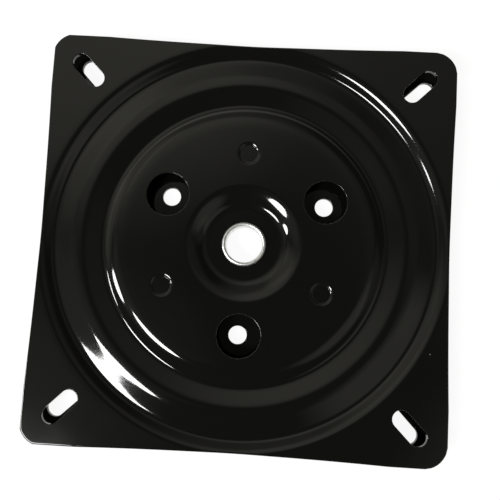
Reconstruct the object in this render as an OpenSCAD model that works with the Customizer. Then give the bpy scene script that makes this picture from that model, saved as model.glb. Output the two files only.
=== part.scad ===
// Square seat swivel: two pressed steel plates that turn on a ball race round a hollow centre rivet.
// Origin at the middle of the underside, +Z up. The upper plate's edges lie along X and Y.

/* [Plates] */
// Side of each square plate
plate_side = 178; // [172:1:210]
// Height from the lower mounting face to the upper mounting face
height = 12.6; // [12.2:0.1:15]
// Thickness of the pressed sheet
sheet = 2.2; // [1.6:0.1:2.4]
// Radius of the arcs that trim the plates' corners
corner_r = 10; // [10:0.5:25]
// Distance from the sharp corner to the ends of that arc at the left corners
left_trim = 6; // [3:0.5:9.5]
// Distance from the sharp corner to the ends of that arc at the right corners
right_trim = 9; // [3:0.5:9.5]
// How far the pressing draws in the middle of each edge
edge_draw = 1.2; // [0.4:0.1:2.5]
// Length of the drawn-in stretch of each edge
draw_span = 130; // [90:1:150]
// Turn of the lower plate against the upper one as they lie at rest, in degrees
lower_turn = -1; // [-5:0.5:5]

/* [Ball race] */
// Diameter of the circle that the ball centres run on
race_pcd = 143; // [136:0.2:145]
// Diameter of a ball
ball_d = 6.35; // [5.5:0.05:6.6]
// Number of balls
ball_count = 24; // [12:1:30]
// Running clearance between a ball and either plate
ball_gap = 0.05; // [0.02:0.01:0.1]
// Radius of the race groove as a share of the ball's diameter
race_fit = 1.2; // [0.6:0.01:1.25]
// Slope of the race's outer flank, in degrees
outer_flank = 16.5; // [15:0.5:19]
// Slope of the race's inner flank, in degrees
inner_flank = 16.5; // [13:0.5:18]

/* [Pressed form] */
// Slope of the wall inside the square flange, in degrees
wall_slope = 29; // [28:1:42]
// Bend radius of the shoulder between flange and wall, on the inside of the bend
shoulder_bend = 10.8; // [6:0.1:13.5]
// Bend radius at the foot of the wall, on the inside of the bend
valley_bend = 2.2; // [1:0.1:3]
// Gap between the two plates at the foot of the wall
valley_gap = 1.2; // [0.5:0.1:1.5]
// Bend radius of the groove inside the race, on the inside of the bend
groove_bend = 2.3; // [1.5:0.1:4]
// Gap between the two plates at the groove inside the race
groove_gap = 1.5; // [1:0.1:2.5]
// Slope of the step from the groove to the plateau, in degrees
step_slope = 32.5; // [29:0.5:45]
// Bend radius at the top of that step, on the inside of the bend
step_bend = 8.8; // [4:0.1:9.5]
// How far the plateau lies below its own plate's mounting face
plateau_drop = 0.1; // [0.05:0.05:0.6]

/* [Centre boss] */
// Radius of the sunk floor round the centre rivet
boss_floor_r = 17.4; // [16:0.1:19]
// Slope of the wall round that floor, in degrees
boss_slope = 33.5; // [29:0.5:42]
// Bend radius at the top of that wall, on the inside of the bend
boss_top_bend = 4.8; // [2:0.1:5]
// Bend radius at the foot of that wall, on the inside of the bend
boss_foot_bend = 4.9; // [3:0.1:7]

/* [Centre rivet and washer] */
// Bore of the hollow rivet
rivet_bore = 15.7; // [12:0.1:18]
// Wall of the hollow rivet
rivet_wall = 0.8; // [0.6:0.1:1.2]
// Width of the rolled rim at each end of the rivet
rim_w = 1.75; // [1.5:0.05:2.2]
// Radial running clearance round the rivet
pivot_gap = 0.05; // [0.03:0.01:0.1]
// Thickness of the nylon washer between the two boss floors
washer_t = 0.9; // [0.6:0.1:1.5]
// How far the washer's edge stays inside the boss floor's corner
washer_margin = 3.5; // [2.5:0.1:4.5]
// End play of the upper plate above the washer and under the rivet's rim
end_play = 0.1; // [0.05:0.01:0.2]

/* [Ball cage] */
// Width of the flat cage ring
cage_w = 10; // [9:0.1:11]
// Thickness of the cage ring
cage_t = 1; // [0.6:0.1:1.4]
// Clearance round a ball in its pocket
pocket_gap = 0.15; // [0.08:0.01:0.3]

/* [Holes] */
// Distance of the middle of each corner slot from both edges
slot_inset = 15.9; // [14:0.1:17]
// Width of a corner slot
slot_w = 7.7; // [5:0.1:8.5]
// Length of a corner slot from end to end, along the diagonal
slot_l = 17.5; // [12:0.1:20]
// Diameter of the circle that the fixing holes lie on
fixing_pcd = 78.8; // [74:0.1:82]
// Number of fixing holes in the lower plate, with one access hole above each
fixing_count = 3; // [3:1:3]
// Diameter of a fixing hole in the lower plate
fixing_d = 8; // [5:0.1:11]
// Diameter of an access hole in the upper plate
access_d = 18.7; // [12:0.1:20]
// Diameter of a blind dimple between two access holes
dimple_d = 8.8; // [5:0.1:11]
// Depth of a dimple
dimple_depth = 0.6; // [0.2:0.1:1]

/* [Hidden] */
$fn = 96;
cut = 1;
bend_step = 7;
first_fixing = 30;
draw_fn = 720;

mid_z = height / 2;
plateau_z = height - plateau_drop;
race_r = race_pcd / 2;
race_bend = race_fit * ball_d;
blank_r = plate_side * sqrt(2) / 2 + cut;
rivet_r = rivet_bore / 2 + rivet_wall;
pivot_r = rivet_r + pivot_gap;
slot_r = (plate_side / 2 - slot_inset) * sqrt(2);

// Top surface of the upper plate where it comes closest to the lower one
valley_z = mid_z + valley_gap / 2 + sheet;
groove_z = mid_z + groove_gap / 2 + sheet;
floor_z = mid_z + (washer_t + end_play) / 2 + sheet;
crest_z = mid_z + ball_d / 2 + ball_gap + sheet;

// How far the meeting point of two slopes lies past the round bend between them, across and along
function past_bend(a, b, r) = [r * (cos(b) - cos(a)) / sin(a + b), r * ((sin(a) + sin(b)) / sin(a + b) - 1)];

// Corner points of the upper plate's top surface from rim to centre, each with its inside bend radius
crest = [race_r, crest_z] + past_bend(outer_flank, inner_flank, race_bend + sheet);
valley_y = valley_z - past_bend(outer_flank, wall_slope, valley_bend)[1];
groove_y = groove_z - past_bend(inner_flank, step_slope, groove_bend)[1];
valley = [crest[0] + (crest[1] - valley_y) / tan(outer_flank), valley_y];
groove = [crest[0] - (crest[1] - groove_y) / tan(inner_flank), groove_y];
shoulder_r = valley[0] + (height - valley[1]) / tan(wall_slope);
step_r = groove[0] - (plateau_z - groove[1]) / tan(step_slope);
boss_top_r = boss_floor_r + (plateau_z - floor_z) / tan(boss_slope);
form = [
    [blank_r, height, 0],
    [shoulder_r, height, shoulder_bend],
    [valley[0], valley[1], valley_bend],
    [crest[0], crest[1], race_bend],
    [groove[0], groove[1], groove_bend],
    [step_r, plateau_z, step_bend],
    [boss_top_r, plateau_z, boss_top_bend],
    [boss_floor_r, floor_z, boss_foot_bend],
    [pivot_r, floor_z, 0]
];

function ball_name(i) = str("ball_", i < 9 ? "0" : "", i + 1);
BALLS = [for (i = [0 : ball_count - 1]) ball_name(i)];

function unit(v) = v / norm(v);
function flat(p) = [p[0], p[1]];
function heading(path, i) = unit(flat(path[i + 1]) - flat(path[i]));
function up(d) = [d[1], -d[0]];
function turn(path, i) = cross(heading(path, i - 1), heading(path, i));

// The path lowered by depth along its own normals: the sheet's other face
function lowered(path, depth) = [for (i = [0 : len(path) - 1])
    let (a = up(heading(path, max(i - 1, 0))), b = up(heading(path, min(i, len(path) - 2))))
    concat(flat(path[i]) - depth * (a + b) / (1 + a * b), path[i][2])];

// A face of the sheet: straight stretches joined by round bends, each wider by crest_extra or
// valley_extra where the face lies outside the bend. A crest turns the path left as it runs inwards.
function bent(path, crest_extra, valley_extra) = [for (i = [0 : len(path) - 1])
    each i == 0 || i == len(path) - 1 ? [flat(path[i])] :
        bend(flat(path[i]), heading(path, i - 1), heading(path, i),
            path[i][2] + (turn(path, i) > 0 ? crest_extra : valley_extra))];

// Points of the round bend of radius r at corner p, between heading a and heading b
function bend(p, a, b, r) =
    let (side = sign(cross(a, b)),
        sweep = acos(a * b),
        centre = p - a * r * tan(sweep / 2) - side * up(a) * r,
        steps = ceil(sweep / bend_step),
        start = side * up(a) * r)
    [for (k = [0 : steps]) let (t = side * sweep * k / steps)
        centre + [start[0] * cos(t) - start[1] * sin(t), start[0] * sin(t) + start[1] * cos(t)]];

function backwards(list) = [for (i = [len(list) - 1 : -1 : 0]) list[i]];

// Places count copies evenly round the axis, at radius r from angle start
module ring_of(count, r, start = 0) {
    for (i = [0 : count - 1]) rotate(start + i * 360 / count) translate([r, 0]) children();
}

// What an arc trims off a corner on the X axis, where trim is the length it takes off each edge
module corner_waste(trim) {
    chord_x = (plate_side - trim) / sqrt(2);
    difference() {
        translate([chord_x, -trim]) square([trim, 2 * trim]);
        translate([chord_x - sqrt(pow(corner_r, 2) - pow(trim, 2) / 2), 0]) circle(corner_r);
    }
}

// Square with trimmed corners, its edges drawn in along their middle stretch
module plate_outline() {
    draw_r = (pow(draw_span / 2, 2) + pow(edge_draw, 2)) / (2 * edge_draw);
    difference() {
        square(plate_side, center = true);
        for (a = [-45, 45]) rotate(a) corner_waste(right_trim);
        for (a = [135, 225]) rotate(a) corner_waste(left_trim);
        ring_of(4, plate_side / 2 - edge_draw + draw_r) circle(draw_r, $fn = draw_fn);
    }
}

// Corner slot, long along X
module slot() {
    straight = slot_l - slot_w;
    square([straight, slot_w], center = true);
    for (x = [-straight / 2, straight / 2]) translate([x, 0]) circle(d = slot_w);
}

// The pressed sheet with its corner slots and centre hole, as the upper plate lies
module pressed_plate() {
    difference() {
        intersection() {
            rotate_extrude() polygon(concat(bent(form, sheet, 0), backwards(bent(lowered(form, sheet), 0, sheet))));
            linear_extrude(height + cut) plate_outline();
        }
        linear_extrude(height + cut) ring_of(4, slot_r, 45) slot();
    }
}

// Cones with 45 degree walls for the dimples, wide at top_z and going down by depth
module dimples(top_z, depth) {
    translate([0, 0, top_z - depth])
        ring_of(fixing_count, fixing_pcd / 2, first_fixing + 180 / fixing_count)
        cylinder(d1 = dimple_d - 2 * depth, d2 = dimple_d, h = depth);
}

module upper_plate() {
    color("#17171a") difference() {
        union() {
            pressed_plate();
            // The dimples' underside, pushed through the sheet
            dimples(plateau_z - dimple_depth / 2, sheet + dimple_depth / 2);
        }
        dimples(plateau_z, dimple_depth);
        ring_of(fixing_count, fixing_pcd / 2, first_fixing) cylinder(d = access_d, h = height + cut);
    }
}

module lower_plate() {
    color("#111113") rotate(lower_turn) difference() {
        translate([0, 0, height]) mirror([0, 0, 1]) pressed_plate();
        translate([0, 0, -cut])
            ring_of(fixing_count, fixing_pcd / 2, first_fixing) cylinder(d = fixing_d, h = mid_z + cut);
    }
}

// Flat ring with a round pocket for each ball
module ball_cage() {
    color("#8d8f92") translate([0, 0, mid_z - cage_t / 2]) difference() {
        cylinder(r = race_r + cage_w / 2, h = cage_t);
        translate([0, 0, -cut]) cylinder(r = race_r - cage_w / 2, h = cage_t + 2 * cut);
        translate([0, 0, -cut])
            ring_of(ball_count, race_r) cylinder(d = ball_d + 2 * pocket_gap, h = cage_t + 2 * cut);
    }
}

module ball(i) {
    color("#c9ccd0") rotate(i * 360 / ball_count) translate([race_r, 0, mid_z]) sphere(d = ball_d);
}

// Hollow rivet: a tube with a half-round rolled rim at each end. Its lower rim grips the lower
// plate, and its upper rim leaves the upper plate its end play.
module centre_rivet() {
    rim_r = (rivet_bore + rim_w) / 2;
    low_z = height - floor_z;
    high_z = floor_z + end_play / 2;
    color("#d9dadc") rotate_extrude() {
        translate([rivet_bore / 2, low_z]) square([rivet_wall, high_z - low_z]);
        difference() {
            for (z = [low_z, high_z]) translate([rim_r, z]) circle(d = rim_w);
            translate([rim_r - rim_w, low_z]) square([2 * rim_w, high_z - low_z]);
        }
    }
}

module thrust_washer() {
    color("#e8e4d8") translate([0, 0, height - floor_z + sheet]) difference() {
        cylinder(r = boss_floor_r - washer_margin, h = washer_t);
        translate([0, 0, -cut]) cylinder(r = pivot_r + pivot_gap, h = washer_t + 2 * cut);
    }
}

upper_plate();
lower_plate();
ball_cage();
centre_rivet();
thrust_washer();
for (i = [0 : ball_count - 1]) ball(i);
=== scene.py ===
import math

import bpy
import numpy as np
from mathutils import Matrix
from mathutils.geometry import tessellate_polygon


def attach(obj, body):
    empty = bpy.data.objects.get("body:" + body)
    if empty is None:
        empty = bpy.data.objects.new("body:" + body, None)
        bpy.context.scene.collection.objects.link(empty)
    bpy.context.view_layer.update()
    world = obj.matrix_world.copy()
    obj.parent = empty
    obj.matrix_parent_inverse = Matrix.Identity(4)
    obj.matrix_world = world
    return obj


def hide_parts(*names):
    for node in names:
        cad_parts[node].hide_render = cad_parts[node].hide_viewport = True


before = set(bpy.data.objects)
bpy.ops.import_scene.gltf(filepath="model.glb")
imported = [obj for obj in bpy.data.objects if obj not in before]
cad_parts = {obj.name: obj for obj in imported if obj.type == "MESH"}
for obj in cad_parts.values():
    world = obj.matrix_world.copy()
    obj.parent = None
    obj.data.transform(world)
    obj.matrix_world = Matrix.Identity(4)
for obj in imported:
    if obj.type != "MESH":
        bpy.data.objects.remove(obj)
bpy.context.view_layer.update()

MM = 0.001

# Sizes in millimetres and degrees, the same as in the part's source
PLATE_SIDE, HEIGHT, SHEET = 178, 12.6, 2.2
CORNER_R, LEFT_TRIM, RIGHT_TRIM = 10, 6, 9
EDGE_DRAW, DRAW_SPAN = 1.2, 130
LOWER_TURN = -1
RACE_R, BALL_D, BALL_GAP, RACE_FIT = 71.5, 6.35, 0.05, 1.2
OUTER_FLANK, INNER_FLANK = 16.5, 16.5
WALL_SLOPE, SHOULDER_BEND = 29, 10.8
VALLEY_BEND, VALLEY_GAP = 2.2, 1.2
GROOVE_BEND, GROOVE_GAP = 2.3, 1.5
STEP_SLOPE, STEP_BEND, PLATEAU_DROP = 32.5, 8.8, 0.1
BOSS_FLOOR_R, BOSS_SLOPE, BOSS_TOP_BEND, BOSS_FOOT_BEND = 17.4, 33.5, 4.8, 4.9
RIVET_BORE, RIVET_WALL, RIM_W, PIVOT_GAP = 15.7, 0.8, 1.75, 0.05
WASHER_T, END_PLAY = 0.9, 0.1
SLOT_INSET, SLOT_W, SLOT_L = 15.9, 7.7, 17.5
FIXING_PCD, FIXING_D, ACCESS_D = 78.8, 8, 18.7
DIMPLE_D, DIMPLE_DEPTH = 8.8, 0.6
FIXING_ANGLES = np.radians([30, 150, 270])
DIMPLE_ANGLES = np.radians([90, 210, 330])
SLOT_ANGLES = np.radians([45, 135, 225, 315])

# Slope of a plate's outer face in degrees at each millimetre of radius, from the plateau's edge to the
# flange and from the rivet's floor to the plateau. The slopes were fitted to what the gloss mirrors in
# the photo; the wall and the ends were then set
RING_FROM, RING_SLOPES = 50, (0, -0.5, -1.2, -2.5, -5.8, -10.3, -17.1, -23.2, -27.5, -30.8, -27.1, -7.8,
    11.4, 16, 16.5, 16.5, 16.5, 16.5, 15, 10.4, 5.1, -0.8, -4.7, -6, -8.2, -13.6, -14.2, -14.1, -13.9,
    -13.7, -13, -11.8, -3.5, 14, 36, 38.6, 34, 22, 10, 3.5, 1, 0.3, 0, 0)
BOSS_FROM, BOSS_SLOPES = 14, (0, 0.8, 5.3, 12.3, 25.2, 33, 29.8, 26.5, 21.9, 19.7, 13.3, 5, 0)
# Stretches of radius over which each table makes up what its running sum misses
RING_FLANK, BOSS_FLANK = (62, 69), (17, 25)
# Radius from which the ring's face may be squeezed in to meet the plate's edge
SHOULDER_FOOT = 86

# Rounds that the punch and the enamel leave on an edge, each as its width and depth: along the outline
# and round the holes on the side that faces out, and on the side that faces the other plate
RIM_ROUND, HOLE_ROUND, INNER_ROUND = (0.7, 0.4), (0.3, 0.3), (0.3, 0.3)
# A dimple's inside bends at its lip and foot, and a radius on the flat round it
LIP_BEND, FOOT_BEND, DIMPLE_FLAT_R = 0.15, 0.3, 9

# How finely it is drawn: columns round a plate, a hole and the rivet, steps over an edge's round and
# over the rivet's rim, degrees for each step of a bend, and the same where heights are read off a bend
COLUMNS, HOLE_COLUMNS, RIVET_COLUMNS = 480, 72, 160
ROUND_STEPS, RIM_STEPS, BEND_STEP, FINE_STEP = 6, 18, 9, 0.25
# Decimals of a millimetre to which points have to agree to be joined
JOIN_DIGITS = 4

MID = HEIGHT / 2
PLATEAU_Z = HEIGHT - PLATEAU_DROP
FLOOR_Z = MID + (WASHER_T + END_PLAY) / 2 + SHEET
RIVET_R = RIVET_BORE / 2 + RIVET_WALL
CENTRE_HOLE_R = RIVET_R + PIVOT_GAP


# --- The pressed section -------------------------------------------------------------------------

def past_bend(a, b, r):
    """How far the meeting point of two slopes a and b lies past the bend of radius r between them."""
    across, up = math.cos(b) - math.cos(a), math.sin(a) + math.sin(b) - math.sin(a + b)
    return np.array([r * across, r * up]) / math.sin(a + b)


def pressed_corners():
    """Corner points of the upper plate's top face, rim to centre: radius, height, inside bend radius.

    Each stretch between two corners has its stated slope, so a corner's radius follows from the
    height that the stretch has to climb."""
    outer, inner, wall, step, boss = np.radians(
        [OUTER_FLANK, INNER_FLANK, WALL_SLOPE, STEP_SLOPE, BOSS_SLOPE])
    race_bend = RACE_FIT * BALL_D
    crest_top = np.array([RACE_R, MID + BALL_D / 2 + BALL_GAP + SHEET])
    crest = crest_top + past_bend(outer, inner, race_bend + SHEET)
    valley_z = MID + VALLEY_GAP / 2 + SHEET - past_bend(outer, wall, VALLEY_BEND)[1]
    groove_z = MID + GROOVE_GAP / 2 + SHEET - past_bend(inner, step, GROOVE_BEND)[1]
    valley_r = crest[0] + (crest[1] - valley_z) / math.tan(outer)
    groove_r = crest[0] - (crest[1] - groove_z) / math.tan(inner)
    return [
        (PLATE_SIDE, HEIGHT, 0),
        (valley_r + (HEIGHT - valley_z) / math.tan(wall), HEIGHT, SHOULDER_BEND),
        (valley_r, valley_z, VALLEY_BEND),
        (crest[0], crest[1], race_bend),
        (groove_r, groove_z, GROOVE_BEND),
        (groove_r - (PLATEAU_Z - groove_z) / math.tan(step), PLATEAU_Z, STEP_BEND),
        (BOSS_FLOOR_R + (PLATEAU_Z - FLOOR_Z) / math.tan(boss), PLATEAU_Z, BOSS_TOP_BEND),
        (BOSS_FLOOR_R, FLOOR_Z, BOSS_FOOT_BEND),
        (CENTRE_HOLE_R, FLOOR_Z, 0),
    ]


def section_arcs(corners, depth, step):
    """The bends of a section, one array each of rows (radius, height, normal across, normal up).

    A corner becomes the arc of its bend radius that touches both slopes: centre + side * radius *
    normal, with the normal turned evenly from one slope's to the next. The bend radius is the one
    inside the bend, so a crest's is wider by the sheet on the top face. The face at a depth below
    the top one is the same path moved down along its normals, so there it is the valleys' bends
    that are wider by the sheet."""
    p = np.array(corners, float)
    along = np.diff(p[:, :2], axis=0)
    along /= np.linalg.norm(along, axis=1, keepdims=True)
    up = np.stack([along[:, 1], -along[:, 0]], 1)
    arcs = []
    for i in range(1, len(p) - 1):
        a, b, up_a, up_b = along[i - 1], along[i], up[i - 1], up[i]
        crest = a[0] * b[1] - a[1] * b[0] > 0
        side = 1 if crest else -1
        radius = p[i, 2] + (SHEET if crest != (depth > 0) else 0)
        corner = p[i, :2] - depth * (up_a + up_b) / (1 + up_a @ up_b)
        first, last = math.atan2(*up_a), math.atan2(*up_b)
        centre = corner - a * radius * math.tan(abs(last - first) / 2) - side * radius * up_a
        turn = np.linspace(first, last, max(2, math.ceil(abs(last - first) / math.radians(step))) + 1)
        normal = np.stack([np.sin(turn), np.cos(turn)], 1)
        arcs.append(np.hstack([centre + side * radius * normal, normal]))
    return arcs


def mirrored_face():
    """The outer face as its gloss shows it: rows (radius, height, normal across, normal up) from rim to
    centre, one every half millimetre, for the ring and for the boss.

    The slope runs straight from one value of the table to the next, and the height is its running sum.
    What the sum misses the next level by is spread over the flank that mirrors least."""
    faces = []
    for first, slopes, low, high, flank in ((RING_FROM, RING_SLOPES, PLATEAU_Z, HEIGHT, RING_FLANK),
                                            (BOSS_FROM, BOSS_SLOPES, FLOOR_Z, PLATEAU_Z, BOSS_FLANK)):
        radius = np.linspace(first, first + len(slopes) - 1, 2 * len(slopes) - 1)
        slope = np.radians(np.interp(radius, first + np.arange(len(slopes)), slopes))
        rise = np.tan(slope)
        height = low + np.append(0, np.cumsum((rise[1:] + rise[:-1]) / 2 * np.diff(radius)))
        height -= (height[-1] - high) * np.clip((radius - flank[0]) / (flank[1] - flank[0]), 0, 1)
        faces.append(np.stack([radius, height, -np.sin(slope), np.cos(slope)], 1)[::-1])
    return faces


def dimple_section(level, way):
    """Rows (radius, height, normal across, normal up) of a blind dimple in a face at the height level.

    On the face above (way 1) it is sunk in with walls of 45 degrees. On the face below (way -1) it
    stands out by as much, and is narrower by the sheet less half the dimple's depth. The crest's
    bend is LIP_BEND + SHEET, for which the wall is too short, so the rows step back by 0.18 mm at
    the end of the wall away from the crest."""
    wide = DIMPLE_D / 2 if way == 1 else DIMPLE_D / 2 - SHEET + DIMPLE_DEPTH / 2
    bends = (LIP_BEND, FOOT_BEND)[::way]
    bottom = -way * DIMPLE_DEPTH
    rows = np.vstack(section_arcs([(DIMPLE_FLAT_R, 0, 0), (wide, 0, bends[0]),
                                   (wide - DIMPLE_DEPTH, bottom, bends[1]), (0, bottom, 0)], 0, BEND_STEP))
    rows = np.vstack([rows, [[0, rows[-1, 1], 0, 1]]])
    rows[:, 1:3] *= way
    rows[:, 1] += level
    return rows


# --- The plate's outline and holes ---------------------------------------------------------------

def even_angles(count, start=0):
    """Angles spread evenly round a full turn, the first one start steps on."""
    return (np.arange(count) + start) * 2 * math.pi / count


def quadrant(angle):
    """The quarter turn that an angle lies in, from 0 to 3."""
    return np.floor(angle / (math.pi / 2)).astype(int) % 4


def edge_radius(angle, inset):
    """Distance from the centre to the plate's edge moved in by inset, in the direction angle.

    Along a side it is the nearer of the straight edge and the wide arc that the pressing drew in.
    Near a corner it is the far side of the arc that trims it."""
    off_corner = np.abs((angle % (math.pi / 2)) - math.pi / 4)
    off_side = math.pi / 4 - off_corner
    half = PLATE_SIDE / 2 - inset
    draw_r = (DRAW_SPAN ** 2 / 4 + EDGE_DRAW ** 2) / (2 * EDGE_DRAW)
    draw_x = PLATE_SIDE / 2 - EDGE_DRAW + draw_r
    side_root = np.clip((draw_r + inset) ** 2 - (draw_x * np.sin(off_side)) ** 2, 0, None)
    side = np.minimum(half / np.cos(off_side), draw_x * np.cos(off_side) - np.sqrt(side_root))
    trim = np.array([RIGHT_TRIM, LEFT_TRIM, LEFT_TRIM, RIGHT_TRIM])[quadrant(angle)]
    centre = (PLATE_SIDE - trim) / math.sqrt(2) - np.sqrt(CORNER_R ** 2 - trim ** 2 / 2)
    arc_r = CORNER_R - inset
    kink = centre / math.sqrt(2) + np.sqrt(arc_r ** 2 - (half - centre / math.sqrt(2)) ** 2)
    in_corner = off_corner < math.pi / 4 - np.arctan2(kink, half)
    corner_root = np.clip(arc_r ** 2 - (centre * np.sin(off_corner)) ** 2, 0, None)
    corner = centre * np.cos(off_corner) + np.sqrt(corner_root)
    return np.where(in_corner, corner, side)


def plate_angles():
    """Even angles round the plate, with the nearest one moved onto each kink of the outline."""
    angles = even_angles(COLUMNS)
    half = PLATE_SIDE / 2
    kinks = [math.atan2(DRAW_SPAN / 2, half)]
    kinks += [math.atan2(half - trim, half) for trim in (LEFT_TRIM, RIGHT_TRIM)]
    for kink in kinks:
        for turn in range(4):
            for target in (turn * math.pi / 2 + kink, turn * math.pi / 2 + math.pi / 2 - kink):
                angles[round(target / (2 * math.pi / COLUMNS)) % COLUMNS] = target
    return angles


def round_hole(x, y, diameter):
    """A round hole: the same middle for every direction, the directions and the radius."""
    turn = even_angles(HOLE_COLUMNS)
    return np.tile([x, y], (HOLE_COLUMNS, 1)), np.stack([np.cos(turn), np.sin(turn)], 1), diameter / 2


def corner_slot(angle):
    """A slot along the diagonal at angle: a round hole whose middle jumps from one end to the other."""
    turn = even_angles(HOLE_COLUMNS, 0.5)
    way = np.stack([np.cos(turn), np.sin(turn)], 1)
    middle_r = (PLATE_SIDE / 2 - SLOT_INSET) * math.sqrt(2)
    reach = middle_r + np.sign(np.cos(turn)) * (SLOT_L - SLOT_W) / 2
    spin = np.array([[math.cos(angle), math.sin(angle)], [-math.sin(angle), math.cos(angle)]])
    return np.stack([reach, 0 * reach], 1) @ spin, way @ spin, SLOT_W / 2


# --- Collecting a closed skin --------------------------------------------------------------------

class Skin:
    """Patches of points with their own normals, joined into one closed mesh where they meet."""

    def __init__(self):
        self.points, self.normals, self.triangles, self.count = [], [], [], 0

    def patch(self, points, normals, triangles):
        """Adds a patch, whose triangles count from its own first point."""
        self.points.append(points.reshape(-1, 3))
        self.normals.append(normals.reshape(-1, 3))
        self.triangles.append(np.asarray(triangles) + self.count)
        self.count += len(self.points[-1])

    def grid(self, points, normals):
        """Rows by columns of points, with the last column joined to the first."""
        rows, columns = points.shape[:2]
        i, j = np.meshgrid(np.arange(rows - 1), np.arange(columns), indexing="ij")
        a, b = i * columns + j, i * columns + (j + 1) % columns
        c, d = b + columns, a + columns
        halves = np.concatenate([np.stack([a, b, c], -1), np.stack([a, c, d], -1)])
        self.patch(points, normals, halves.reshape(-1, 3))

    def flat(self, loops, way):
        """The area between an outer loop and the holes in it, all facing up or down."""
        triangles = tessellate_polygon([[tuple(p) for p in loop] for loop in loops])
        points = np.concatenate(loops)
        self.patch(points, np.tile([0.0, 0.0, way], (len(points), 1)), triangles)

    def lathe(self, rows, angles, x=0.0, y=0.0, way=1):
        """Rows (radius, height, normal across, normal up) turned about an upright axis at x, y."""
        radius, height, across, upward = rows.T
        cos, sin = np.cos(angles), np.sin(angles)
        flat = np.ones_like(cos)
        points = np.stack([x + np.outer(radius, cos), y + np.outer(radius, sin), np.outer(height, flat)], -1)
        normals = np.stack([np.outer(across, cos), np.outer(across, sin), np.outer(upward, flat)], -1) * way
        self.grid(points, normals)
        return points

    def mesh(self, name, place=None):
        """Joins the points that agree and turns every face to its normals. A place is a turn or
        mirroring, as a matrix, and a shift after it."""
        points, normals = np.concatenate(self.points), np.concatenate(self.normals)
        triangles = np.concatenate(self.triangles)
        if place is not None:
            points, normals = points @ place[0].T + place[1], normals @ place[0].T
        _, first, where = np.unique(np.round(points, JOIN_DIGITS), axis=0,
                                    return_index=True, return_inverse=True)
        where = where.reshape(-1)
        joined = np.zeros((len(first), 3))
        np.add.at(joined, where, normals)
        joined /= np.maximum(np.linalg.norm(joined, axis=1, keepdims=True), 1e-9)
        points, triangles = points[first], where[triangles]
        a, b, c = triangles.T
        triangles = triangles[(a != b) & (b != c) & (c != a)]
        corners = points[triangles]
        facing = np.cross(corners[:, 1] - corners[:, 0], corners[:, 2] - corners[:, 0])
        back = (facing * joined[triangles].sum(1)).sum(1) < 0
        triangles[back] = triangles[back][:, ::-1]
        mesh = bpy.data.meshes.new(name)
        mesh.vertices.add(len(points))
        mesh.vertices.foreach_set("co", (points * MM).ravel())
        mesh.loops.add(triangles.size)
        mesh.loops.foreach_set("vertex_index", triangles.ravel())
        mesh.polygons.add(len(triangles))
        mesh.polygons.foreach_set("loop_start", np.arange(0, triangles.size, 3))
        mesh.update(calc_edges=True)
        mesh.polygons.foreach_set("use_smooth", np.ones(len(triangles), bool))
        mesh.normals_split_custom_set_from_vertices(joined)
        piece = bpy.data.objects.new(name, mesh)
        bpy.context.scene.collection.objects.link(piece)
        return piece


def rounding(size):
    """Quarter ellipse over an edge: how far in, how far down, and the normal's share out and up.

    The point at turn t is (wide * sin t, deep * cos t) from the ellipse's middle, and the normal
    there is (sin t / wide, cos t / deep) at unit length."""
    wide, deep = size
    turn = np.linspace(0, math.pi / 2, ROUND_STEPS + 1)
    sin, cos = np.sin(turn), np.cos(turn)
    long = np.hypot(sin / wide, cos / deep)
    return wide * (1 - sin), deep * (1 - cos), sin / wide / long, cos / deep / long


def hole_wall(skin, hole, top, bottom, out_round=HOLE_ROUND):
    """The wall of a hole from the top face to the bottom face, with both edges rounded over.

    Point (i, j) is middle[j] + (radius + grow[i]) * way[j]. Returns the first and last row."""
    middle, way, radius = hole
    grow_a, down_a, out_a, up_a = rounding(out_round)
    grow_b, down_b, out_b, up_b = (part[::-1] for part in rounding(INNER_ROUND))
    grow = np.concatenate([grow_a, grow_b])
    height = np.concatenate([top - down_a, bottom + down_b])
    out, up = np.concatenate([out_a, out_b]), np.concatenate([up_a, -up_b])
    flat = np.ones(len(way))
    xy = middle + (radius + grow)[:, None, None] * way
    points = np.concatenate([xy, np.outer(height, flat)[..., None]], -1)
    normals = np.concatenate([-out[:, None, None] * way, np.outer(up, flat)[..., None]], -1)
    skin.grid(points, normals)
    return points[0], points[-1]


# --- The two plates ------------------------------------------------------------------------------

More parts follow.
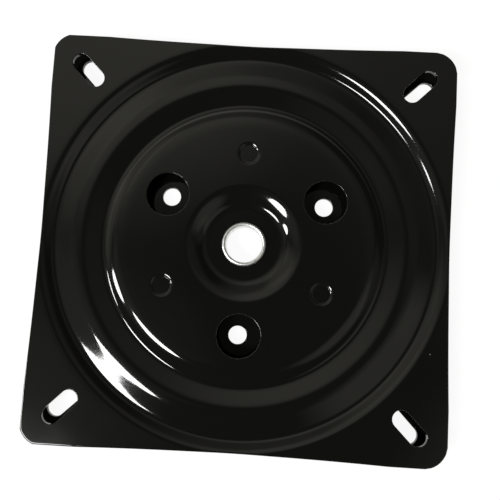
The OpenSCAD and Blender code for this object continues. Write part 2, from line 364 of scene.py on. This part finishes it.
def pressed_face(skin, angles, depth):
    """One face of the sheet from the edge's round to the centre hole's: the mirrored face outside
    (depth 0), the pressed one towards the other plate (depth SHEET).

    The shoulder is squeezed in between its foot and the edge's round where that comes first. Returns
    what the edge, the holes and the flat areas join on to: the loops at the edge and at the
    shoulder, the columns with flat sheet between them, and the radii and heights of the levels."""
    way, edge_round = (-1, INNER_ROUND) if depth else (1, RIM_ROUND)
    if depth:
        arcs = section_arcs(pressed_corners(), depth, BEND_STEP)
        shoulder, race, hub = arcs[0], np.vstack(arcs[1:5]), np.vstack(arcs[5:])
        fine = section_arcs(pressed_corners(), depth, FINE_STEP)[0][::-1]
    else:
        face, hub = mirrored_face()
        shoulder, race = face[face[:, 0] >= SHOULDER_FOOT], face[face[:, 0] < SHOULDER_FOOT]
        fine = face[::-1]
    start, foot = shoulder[0, 0], shoulder[-1, 0]
    edge = edge_radius(angles, edge_round[0])
    reach = np.minimum(start, edge)
    share = (shoulder[:, 0] - foot) / (start - foot)
    radius = foot + np.outer(share, reach - foot)
    height, across, upward = (np.interp(radius, fine[:, 0], fine[:, k]) for k in (1, 2, 3))
    cos, sin = np.cos(angles), np.sin(angles)
    skin.grid(np.stack([radius * cos, radius * sin, height], -1),
              np.stack([across * cos, across * sin, upward], -1) * way)
    skin.lathe(np.vstack([shoulder[-1:], race]), angles, way=way)
    hub = np.vstack([hub, [[CENTRE_HOLE_R + INNER_ROUND[0], hub[-1, 1], 0, 1]]])
    skin.lathe(hub, angles, way=way)
    rim, ring = (np.stack([r * cos, r * sin, np.interp(r, fine[:, 0], fine[:, 1])], 1) for r in (edge, reach))
    return dict(rim=rim, ring=ring, free=edge > start, flange_z=shoulder[0, 1], plateau_r=race[-1, 0],
                boss_r=hub[0, 0], plateau_z=hub[0, 1], floor_z=hub[-1, 1])


def plate_edge(skin, angles, top, under):
    """The outline's edge: rows from the top face's rim, over the round, down the wall and back in."""
    outline = np.stack([edge_radius(angles, 0) * f(angles) for f in (np.cos, np.sin)], 1)
    along = np.roll(outline, -1, 0) - np.roll(outline, 1, 0)
    out = np.stack([along[:, 1], -along[:, 0]], 1) / np.linalg.norm(along, axis=1, keepdims=True)
    rows, normals = [], []
    for face, edge_round, way in ((top, RIM_ROUND, 1), (under, INNER_ROUND, -1)):
        for inset, down, out_part, up_part in np.stack(rounding(edge_round), 1)[::way]:
            r = edge_radius(angles, inset)
            rows.append(np.stack([r * np.cos(angles), r * np.sin(angles), face["rim"][:, 2] - way * down], 1))
            normals.append(np.hstack([out * out_part, np.full((COLUMNS, 1), way * up_part)]))
    skin.grid(np.array(rows), np.array(normals))


def pressed_plate(name, holes, dimples, place=None):
    """The pressed sheet with its slots, the holes in its plateau and its blind dimples.

    Both faces are a section turned about the axis. They stop at the outline, whose edge is rounded
    over, and are flat round the slots and holes."""
    skin = Skin()
    angles = plate_angles()
    top, under = (pressed_face(skin, angles, depth) for depth in (0, SHEET))
    plate_edge(skin, angles, top, under)

    # Walls of the slots and holes, then the flat areas that end at them
    slots = [corner_slot(a) for a in SLOT_ANGLES]
    slot_walls = [hole_wall(skin, s, top["flange_z"], under["flange_z"]) for s in slots]
    hole_walls = [hole_wall(skin, h, top["plateau_z"], under["plateau_z"]) for h in holes]
    centre = (np.zeros((COLUMNS, 2)), np.stack([np.cos(angles), np.sin(angles)], 1), CENTRE_HOLE_R)
    hole_wall(skin, centre, top["floor_z"], under["floor_z"], INNER_ROUND)
    for face, side, way in ((top, 0, 1), (under, 1, -1)):
        level = face["plateau_z"]
        section = dimple_section(level, way)
        inner = [wall[side] for wall in hole_walls]
        inner += [skin.lathe(section, even_angles(HOLE_COLUMNS), x, y, way)[0] for x, y in dimples]
        bounds = [np.stack([r * np.cos(angles), r * np.sin(angles), np.full(COLUMNS, level)], 1)
                  for r in (face["plateau_r"], face["boss_r"])]
        skin.flat(bounds + inner, way)
        for k, slot_wall in enumerate(slot_walls):
            mine = np.flatnonzero(face["free"] & (quadrant(angles) == k))
            wider = np.concatenate([[mine[0] - 1], mine, [(mine[-1] + 1) % COLUMNS]])
            corner = np.concatenate([face["ring"][wider], face["rim"][mine[::-1]]])
            skin.flat([corner, slot_wall[side]], way)
    return skin.mesh(name, place)


def spot(angle):
    """Place on the circle of the fixing holes."""
    return FIXING_PCD / 2 * math.cos(angle), FIXING_PCD / 2 * math.sin(angle)


# The lower plate is the same pressing, mirrored in the middle plane and turned a little
cos, sin = math.cos(math.radians(LOWER_TURN)), math.sin(math.radians(LOWER_TURN))
mirrored = np.array([[cos, -sin, 0], [sin, cos, 0], [0, 0, -1]])
upper = pressed_plate("upper_pressing", [round_hole(*spot(a), ACCESS_D) for a in FIXING_ANGLES],
                      [spot(a) for a in DIMPLE_ANGLES])
lower = pressed_plate("lower_pressing", [round_hole(*spot(a), FIXING_D) for a in FIXING_ANGLES],
                      [], (mirrored, np.array([0, 0, HEIGHT])))


# --- The rivet -----------------------------------------------------------------------------------

def rolled_rivet():
    """The hollow rivet: its section, a straight bore that rolls out into a half-round rim at both
    ends, turned about the axis. The rows run over the upper rim, down the barrel, round the lower
    rim and up the bore."""
    bore, outside = RIVET_BORE / 2, RIVET_R
    low, high = HEIGHT - FLOOR_Z, FLOOR_Z + END_PLAY / 2
    rim = RIM_W / 2
    turn = np.linspace(math.pi, 0, RIM_STEPS + 1)
    cos, sin = np.cos(turn), np.sin(turn)
    over = np.stack([bore + rim + rim * cos, high + rim * sin, cos, sin], 1)
    under = over * [1, -1, 1, -1] + [0, high + low, 0, 0]
    high_ledge, low_ledge = [[outside, high, 0, -1]], [[outside, low, 0, 1]]
    barrel = np.array([[outside, high, 1, 0], [outside, low, 1, 0]])
    skin = Skin()
    angles = even_angles(RIVET_COLUMNS)
    skin.lathe(np.vstack([over, high_ledge]), angles)
    skin.lathe(barrel, angles)
    skin.lathe(np.vstack([low_ledge, under[::-1]]), angles)
    skin.lathe(np.vstack([under[:1], over[:1]]), angles)
    return skin.mesh("rolled_rivet")


rivet = rolled_rivet()


# --- Materials -----------------------------------------------------------------------------------

# The enamel's orange peel, slow wave, haze and cells of specks: their sizes, and the depths of two
PEEL, WAVE, HAZE, SPECK_CELL = 1.4, 14, 30, 9
PEEL_DEPTH, WAVE_DEPTH = 0.003, 0.03
# Distances from a speck's middle at which it is full and gone, in cells, and the random value that a
# cell has to be above to hold one
SPECK_FULL, SPECK_GONE, SPECK_ABOVE = 0.018, 0.03, 0.93


def linear(hex_colour):
    """An sRGB hex colour as linear red, green, blue and a full alpha."""
    parts = np.array([int(hex_colour[i:i + 2], 16) / 255 for i in (1, 3, 5)])
    low = parts / 12.92
    high = ((parts + 0.055) / 1.055) ** 2.4
    return (*np.where(parts <= 0.04045, low, high).tolist(), 1.0)


def add(tree, kind, sockets=None, **settings):
    """Adds a node with its settings, and fills its sockets with values or other nodes' outputs."""
    node = tree.nodes.new(kind)
    for name, value in settings.items():
        setattr(node, name, value)
    for name, value in (sockets or {}).items():
        if isinstance(value, bpy.types.NodeSocket):
            tree.links.new(value, node.inputs[name])
        else:
            node.inputs[name].default_value = value
    return node


def noise(tree, place, size, detail):
    """A soft noise with waves of the given size in millimetres."""
    sockets = {"Vector": place, "Scale": 1 / (size * MM), "Detail": detail}
    return add(tree, "ShaderNodeTexNoise", sockets).outputs["Fac"]


def remap(tree, value, low, high, to_low, to_high, **settings):
    """A value carried over from the range low to high to a new range, and held at its ends."""
    sockets = {"Value": value, 1: low, 2: high, 3: to_low, 4: to_high}
    return add(tree, "ShaderNodeMapRange", sockets, **settings).outputs["Result"]


def calculate(tree, operation, a, b):
    """The result of an operation on two values."""
    return add(tree, "ShaderNodeMath", {0: a, 1: b}, operation=operation).outputs[0]


def relief(tree, height, depth, **under):
    """Normals of a relief that is depth millimetres deep, on top of the Normal given as under."""
    sockets = {"Height": height, "Distance": depth * MM, "Strength": 1.0, **under}
    return add(tree, "ShaderNodeBump", sockets).outputs["Normal"]


def blend(tree, share, first, second):
    """A colour that goes from the first to the second with the share. Sockets 6 and 7 of a mix node
    are its two colours, and output 2 is the blended one."""
    sockets = {0: share, 6: first, 7: second}
    return add(tree, "ShaderNodeMix", sockets, data_type="RGBA").outputs[2]


def new_material(name):
    """An empty material: itself, its node tree and its output node."""
    material = bpy.data.materials.new(name)
    material.use_nodes = True
    material.node_tree.nodes.clear()
    return material, material.node_tree, add(material.node_tree, "ShaderNodeOutputMaterial")


def cover(tree, output, sockets):
    """Makes a principled shader with these sockets the material's surface."""
    shader = add(tree, "ShaderNodeBsdfPrincipled", sockets)
    tree.links.new(shader.outputs[0], output.inputs["Surface"])


def stove_enamel(name, black):
    """Gloss black stove enamel, dipped and baked on pressed steel.

    To the eye: a black mirror with a faint orange peel, a slow wave left by the pressing, a few
    specks of dust caught in the coat and a slightly duller haze in patches."""
    material, tree, output = new_material(name)
    place = add(tree, "ShaderNodeTexCoord").outputs["Object"]
    peel = noise(tree, place, PEEL, 2.0)
    wave = noise(tree, place, WAVE, 1.0)
    haze = noise(tree, place, HAZE, 4.0)
    # A speck of 0.27 mm radius or less in a few of the cells
    cells = add(tree, "ShaderNodeTexVoronoi", {"Vector": place, "Scale": 1 / (SPECK_CELL * MM)})
    near = remap(tree, cells.outputs["Distance"], SPECK_FULL, SPECK_GONE, 1.0, 0.0)
    pick = add(tree, "ShaderNodeSeparateColor", {"Color": cells.outputs["Color"]})
    rare = calculate(tree, "GREATER_THAN", pick.outputs["Red"], SPECK_ABOVE)
    speck = calculate(tree, "MULTIPLY", near, rare)
    colour = blend(tree, speck, linear(black), linear("#7d7b74"))
    dull = remap(tree, haze, 0.35, 0.75, 0.05, 0.085)
    rough = calculate(tree, "MAXIMUM", dull, speck)
    slow = relief(tree, wave, WAVE_DEPTH)
    fine = relief(tree, peel, PEEL_DEPTH, Normal=slow)
    cover(tree, output, {"Base Color": colour, "Roughness": rough, "IOR": 1.5, "Normal": fine})
    return material


def bare_metal(name, colour, rough, grain, depth):
    """Bare metal: a grain of the given size in millimetres breaks up its reflections a little and
    changes its roughness from place to place."""
    material, tree, output = new_material(name)
    place = add(tree, "ShaderNodeTexCoord").outputs["Object"]
    height = noise(tree, place, grain, 3.0)
    blur = remap(tree, height, 0.3, 0.7, rough * 0.8, rough * 1.25)
    bump = relief(tree, height, depth)
    cover(tree, output, {"Base Color": linear(colour), "Metallic": 1.0, "Roughness": blur, "Normal": bump})
    return material


def moulded_nylon():
    """Natural nylon, moulded: milky, half gloss, with the fine grain of the mould."""
    material, tree, output = new_material("moulded_natural_nylon")
    place = add(tree, "ShaderNodeTexCoord").outputs["Object"]
    grain = noise(tree, place, 0.5, 2.0)
    tone = blend(tree, grain, linear("#e6e0cc"), linear("#d9d2bb"))
    bump = relief(tree, grain, 0.01)
    cover(tree, output, {"Base Color": tone, "Roughness": 0.45, "IOR": 1.53, "Normal": bump})
    return material


def finish(piece, material):
    """Gives a piece its one material."""
    piece.data.materials.clear()
    piece.data.materials.append(material)


# Zinc on the rivet: bright but soft, from the barrel it was plated in. Bearing balls: ground to a
# mirror. Cage: cold-rolled strip with a dull oiled grain.
zinc = bare_metal("bright_zinc_plate", "#e8e8e6", 0.38, 0.8, 0.004)
ball_steel = bare_metal("ground_bearing_steel", "#c9cbcd", 0.05, 0.3, 0.0005)
strip_steel = bare_metal("cold_rolled_strip", "#9a9b9c", 0.32, 0.4, 0.003)
nylon = moulded_nylon()
upper_enamel = stove_enamel("black_stove_enamel_upper", "#0c0c0a")
lower_enamel = stove_enamel("black_stove_enamel_lower", "#0b0b09")

for piece, node, body, slot, material in (
        (upper, "upper_plate", "turntable", "upper_enamel", upper_enamel),
        (lower, "lower_plate", "base", "lower_enamel", lower_enamel),
        (rivet, "centre_rivet", "base", "zinc_rivet", zinc)):
    finish(piece, material)
    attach(piece, body)
    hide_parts(node)

for name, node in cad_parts.items():
    if name.startswith("ball_"):
        finish(node, strip_steel if name == "ball_cage" else ball_steel)
    elif name == "thrust_washer":
        finish(node, nylon)


# --- Floor, light and camera ---------------------------------------------------------------------

# The floor's radius and height in metres, its corners, and how bright the camera sees it
GROUND_R, GROUND_Z, GROUND_CORNERS, GROUND_GLOW = 8, -0.0001, 64, 0.93
# The photo's two windows: name, azimuth and zenith of the middle in degrees, distance, half width and
# half height in millimetres, roll in degrees, radiance
WINDOWS = (("window_front", 220.6, 37.5, 1193, 158, 206, -57, 35),
           ("window_left", 195.1, 61.5, 1217, 164, 120, 53.1, 30))
# Brighter parts of the room: azimuth and zenith of the middle, the angles from there at which the part
# is full and gone, and how much it adds
ROOM = ((120, 56, 15.6, 52, 0.18), (328, 41, 8, 25, 0.34), (204, 40, 7.8, 26, 0.19),
        (36, 32, 7.8, 26, 0.08), (144, 56, 7.8, 26, 0.23), (120, 35, 8, 27, 0.27),
        (204, 16, 3.6, 12, 0.08), (84, 32, 7.8, 26, 0.07), (168, 80, 7.8, 26, 0.30), (350, 57, 6, 21, 0.12))
# Heights on the unit sphere between which the pale horizon fades into the dim room, and both strengths
HORIZON_LOW, HORIZON_HIGH, HORIZON_LIGHT, ROOM_LIGHT = 0.10, 0.30, 0.85, 0.046
# The photo's focal length and width in pixels, and the camera's sensor in millimetres
FOCAL, PHOTO_W, SENSOR = 590, 500, 36


def pale_floor():
    """A wide disc at the plate's underside. The camera, gloss and glass see it white, and it keeps a
    faint shadow; all other light meets a plain pale floor."""
    mesh = bpy.data.meshes.new("floor")
    turn = even_angles(GROUND_CORNERS)
    rim = [GROUND_R * np.cos(turn), GROUND_R * np.sin(turn), np.full(GROUND_CORNERS, GROUND_Z)]
    mesh.from_pydata(np.stack(rim, 1).tolist(), [], [list(range(GROUND_CORNERS))])
    floor = bpy.data.objects.new("floor", mesh)
    bpy.context.scene.collection.objects.link(floor)
    material, tree, output = new_material("pale_floor")
    path = add(tree, "ShaderNodeLightPath").outputs
    seen = calculate(tree, "MAXIMUM", path["Is Camera Ray"], path["Is Glossy Ray"])
    seen = calculate(tree, "MAXIMUM", seen, path["Is Transmission Ray"])
    plain = add(tree, "ShaderNodeBsdfDiffuse", {"Color": linear("#e6e6e6")})
    faint = add(tree, "ShaderNodeBsdfDiffuse", {"Color": linear("#5a5a5a")})
    glow = add(tree, "ShaderNodeEmission", {"Color": (1, 1, 1, 1), "Strength": GROUND_GLOW})
    white = add(tree, "ShaderNodeAddShader", {0: faint.outputs[0], 1: glow.outputs[0]})
    mix = add(tree, "ShaderNodeMixShader", {0: seen, 1: plain.outputs[0], 2: white.outputs[0]})
    tree.links.new(mix.outputs[0], output.inputs["Surface"])
    mesh.materials.append(material)


def direction(azimuth, zenith):
    """Unit vector towards a point of the room, both angles in degrees."""
    a, z = math.radians(azimuth), math.radians(zenith)
    return np.array([math.sin(z) * math.cos(a), math.sin(z) * math.sin(a), math.cos(z)])


def stand(thing, right, up, back, place):
    """Puts a light or camera at a place in metres, with its own right, up and back directions."""
    rows = [[float(part) for part in row] for row in zip(right, up, back, place)]
    thing.matrix_world = Matrix(rows + [[0, 0, 0, 1]])
    bpy.context.scene.collection.objects.link(thing)


def soft_box(name, azimuth, zenith, distance, half_wide, half_high, roll, radiance):
    """An elliptical soft box that faces the middle of the plate's top; sizes in millimetres. Its power
    is radiance * pi * area, so that it looks equally bright at any size."""
    light = bpy.data.lights.new(name, "AREA")
    light.shape = "ELLIPSE"
    light.size, light.size_y = 2 * half_wide * MM, 2 * half_high * MM
    light.energy = radiance * math.pi * math.pi * half_wide * half_high * MM ** 2
    back = direction(azimuth, zenith)
    right = np.cross([0, 0, 1], back)
    right /= np.linalg.norm(right)
    up = np.cross(back, right)
    c, s = math.cos(math.radians(roll)), math.sin(math.radians(roll))
    lamp = bpy.data.objects.new(name, light)
    lamp.visible_camera = False
    stand(lamp, right * c + up * s, up * c - right * s, back, back * distance * MM + [0, 0, HEIGHT * MM])


def room_light():
    """The room round the plate: dim, pale near the horizon, with the brighter parts of ROOM."""
    world = bpy.data.worlds.new("studio")
    bpy.context.scene.world = world
    world.use_nodes = True
    tree = world.node_tree
    tree.nodes.clear()
    way = add(tree, "ShaderNodeTexCoord").outputs["Generated"]
    total = None
    for azimuth, zenith, inside, outside, strength in ROOM:
        toward = add(tree, "ShaderNodeVectorMath", {0: way, 1: direction(azimuth, zenith).tolist()},
                     operation="DOT_PRODUCT").outputs["Value"]
        gone, full = math.cos(math.radians(outside)), math.cos(math.radians(inside))
        lobe = remap(tree, toward, gone, full, 0.0, strength, interpolation_type="SMOOTHSTEP")
        total = lobe if total is None else calculate(tree, "ADD", total, lobe)
    height = add(tree, "ShaderNodeSeparateXYZ", {0: way}).outputs["Z"]
    horizon = remap(tree, height, HORIZON_LOW, HORIZON_HIGH, HORIZON_LIGHT, ROOM_LIGHT,
                    interpolation_type="SMOOTHSTEP")
    total = calculate(tree, "ADD", total, horizon)
    sky = add(tree, "ShaderNodeBackground", {"Color": linear("#fffdf2"), "Strength": total})
    tree.links.new(sky.outputs[0], add(tree, "ShaderNodeOutputWorld").inputs["Surface"])


def photo_camera():
    """The photograph's camera: almost straight above, a little to the front, turned by three degrees.
    The directions are the picture's right, up and back in the plate's frame."""
    data = bpy.data.cameras.new("camera")
    data.sensor_width, data.lens = SENSOR, FOCAL / PHOTO_W * SENSOR
    data.clip_start, data.clip_end = 0.01, 50
    camera = bpy.data.objects.new("camera", data)
    stand(camera, (0.9983, 0.0577, -0.0161), (-0.0566, 0.9937, 0.0964), (0.0216, -0.0953, 0.9952),
          (8.287 * MM, -26.711 * MM, (250.757 + HEIGHT) * MM))
    bpy.context.scene.camera = camera


pale_floor()
for window in WINDOWS:
    soft_box(*window)
room_light()
photo_camera()
bpy.context.scene.view_settings.view_transform = "Standard"
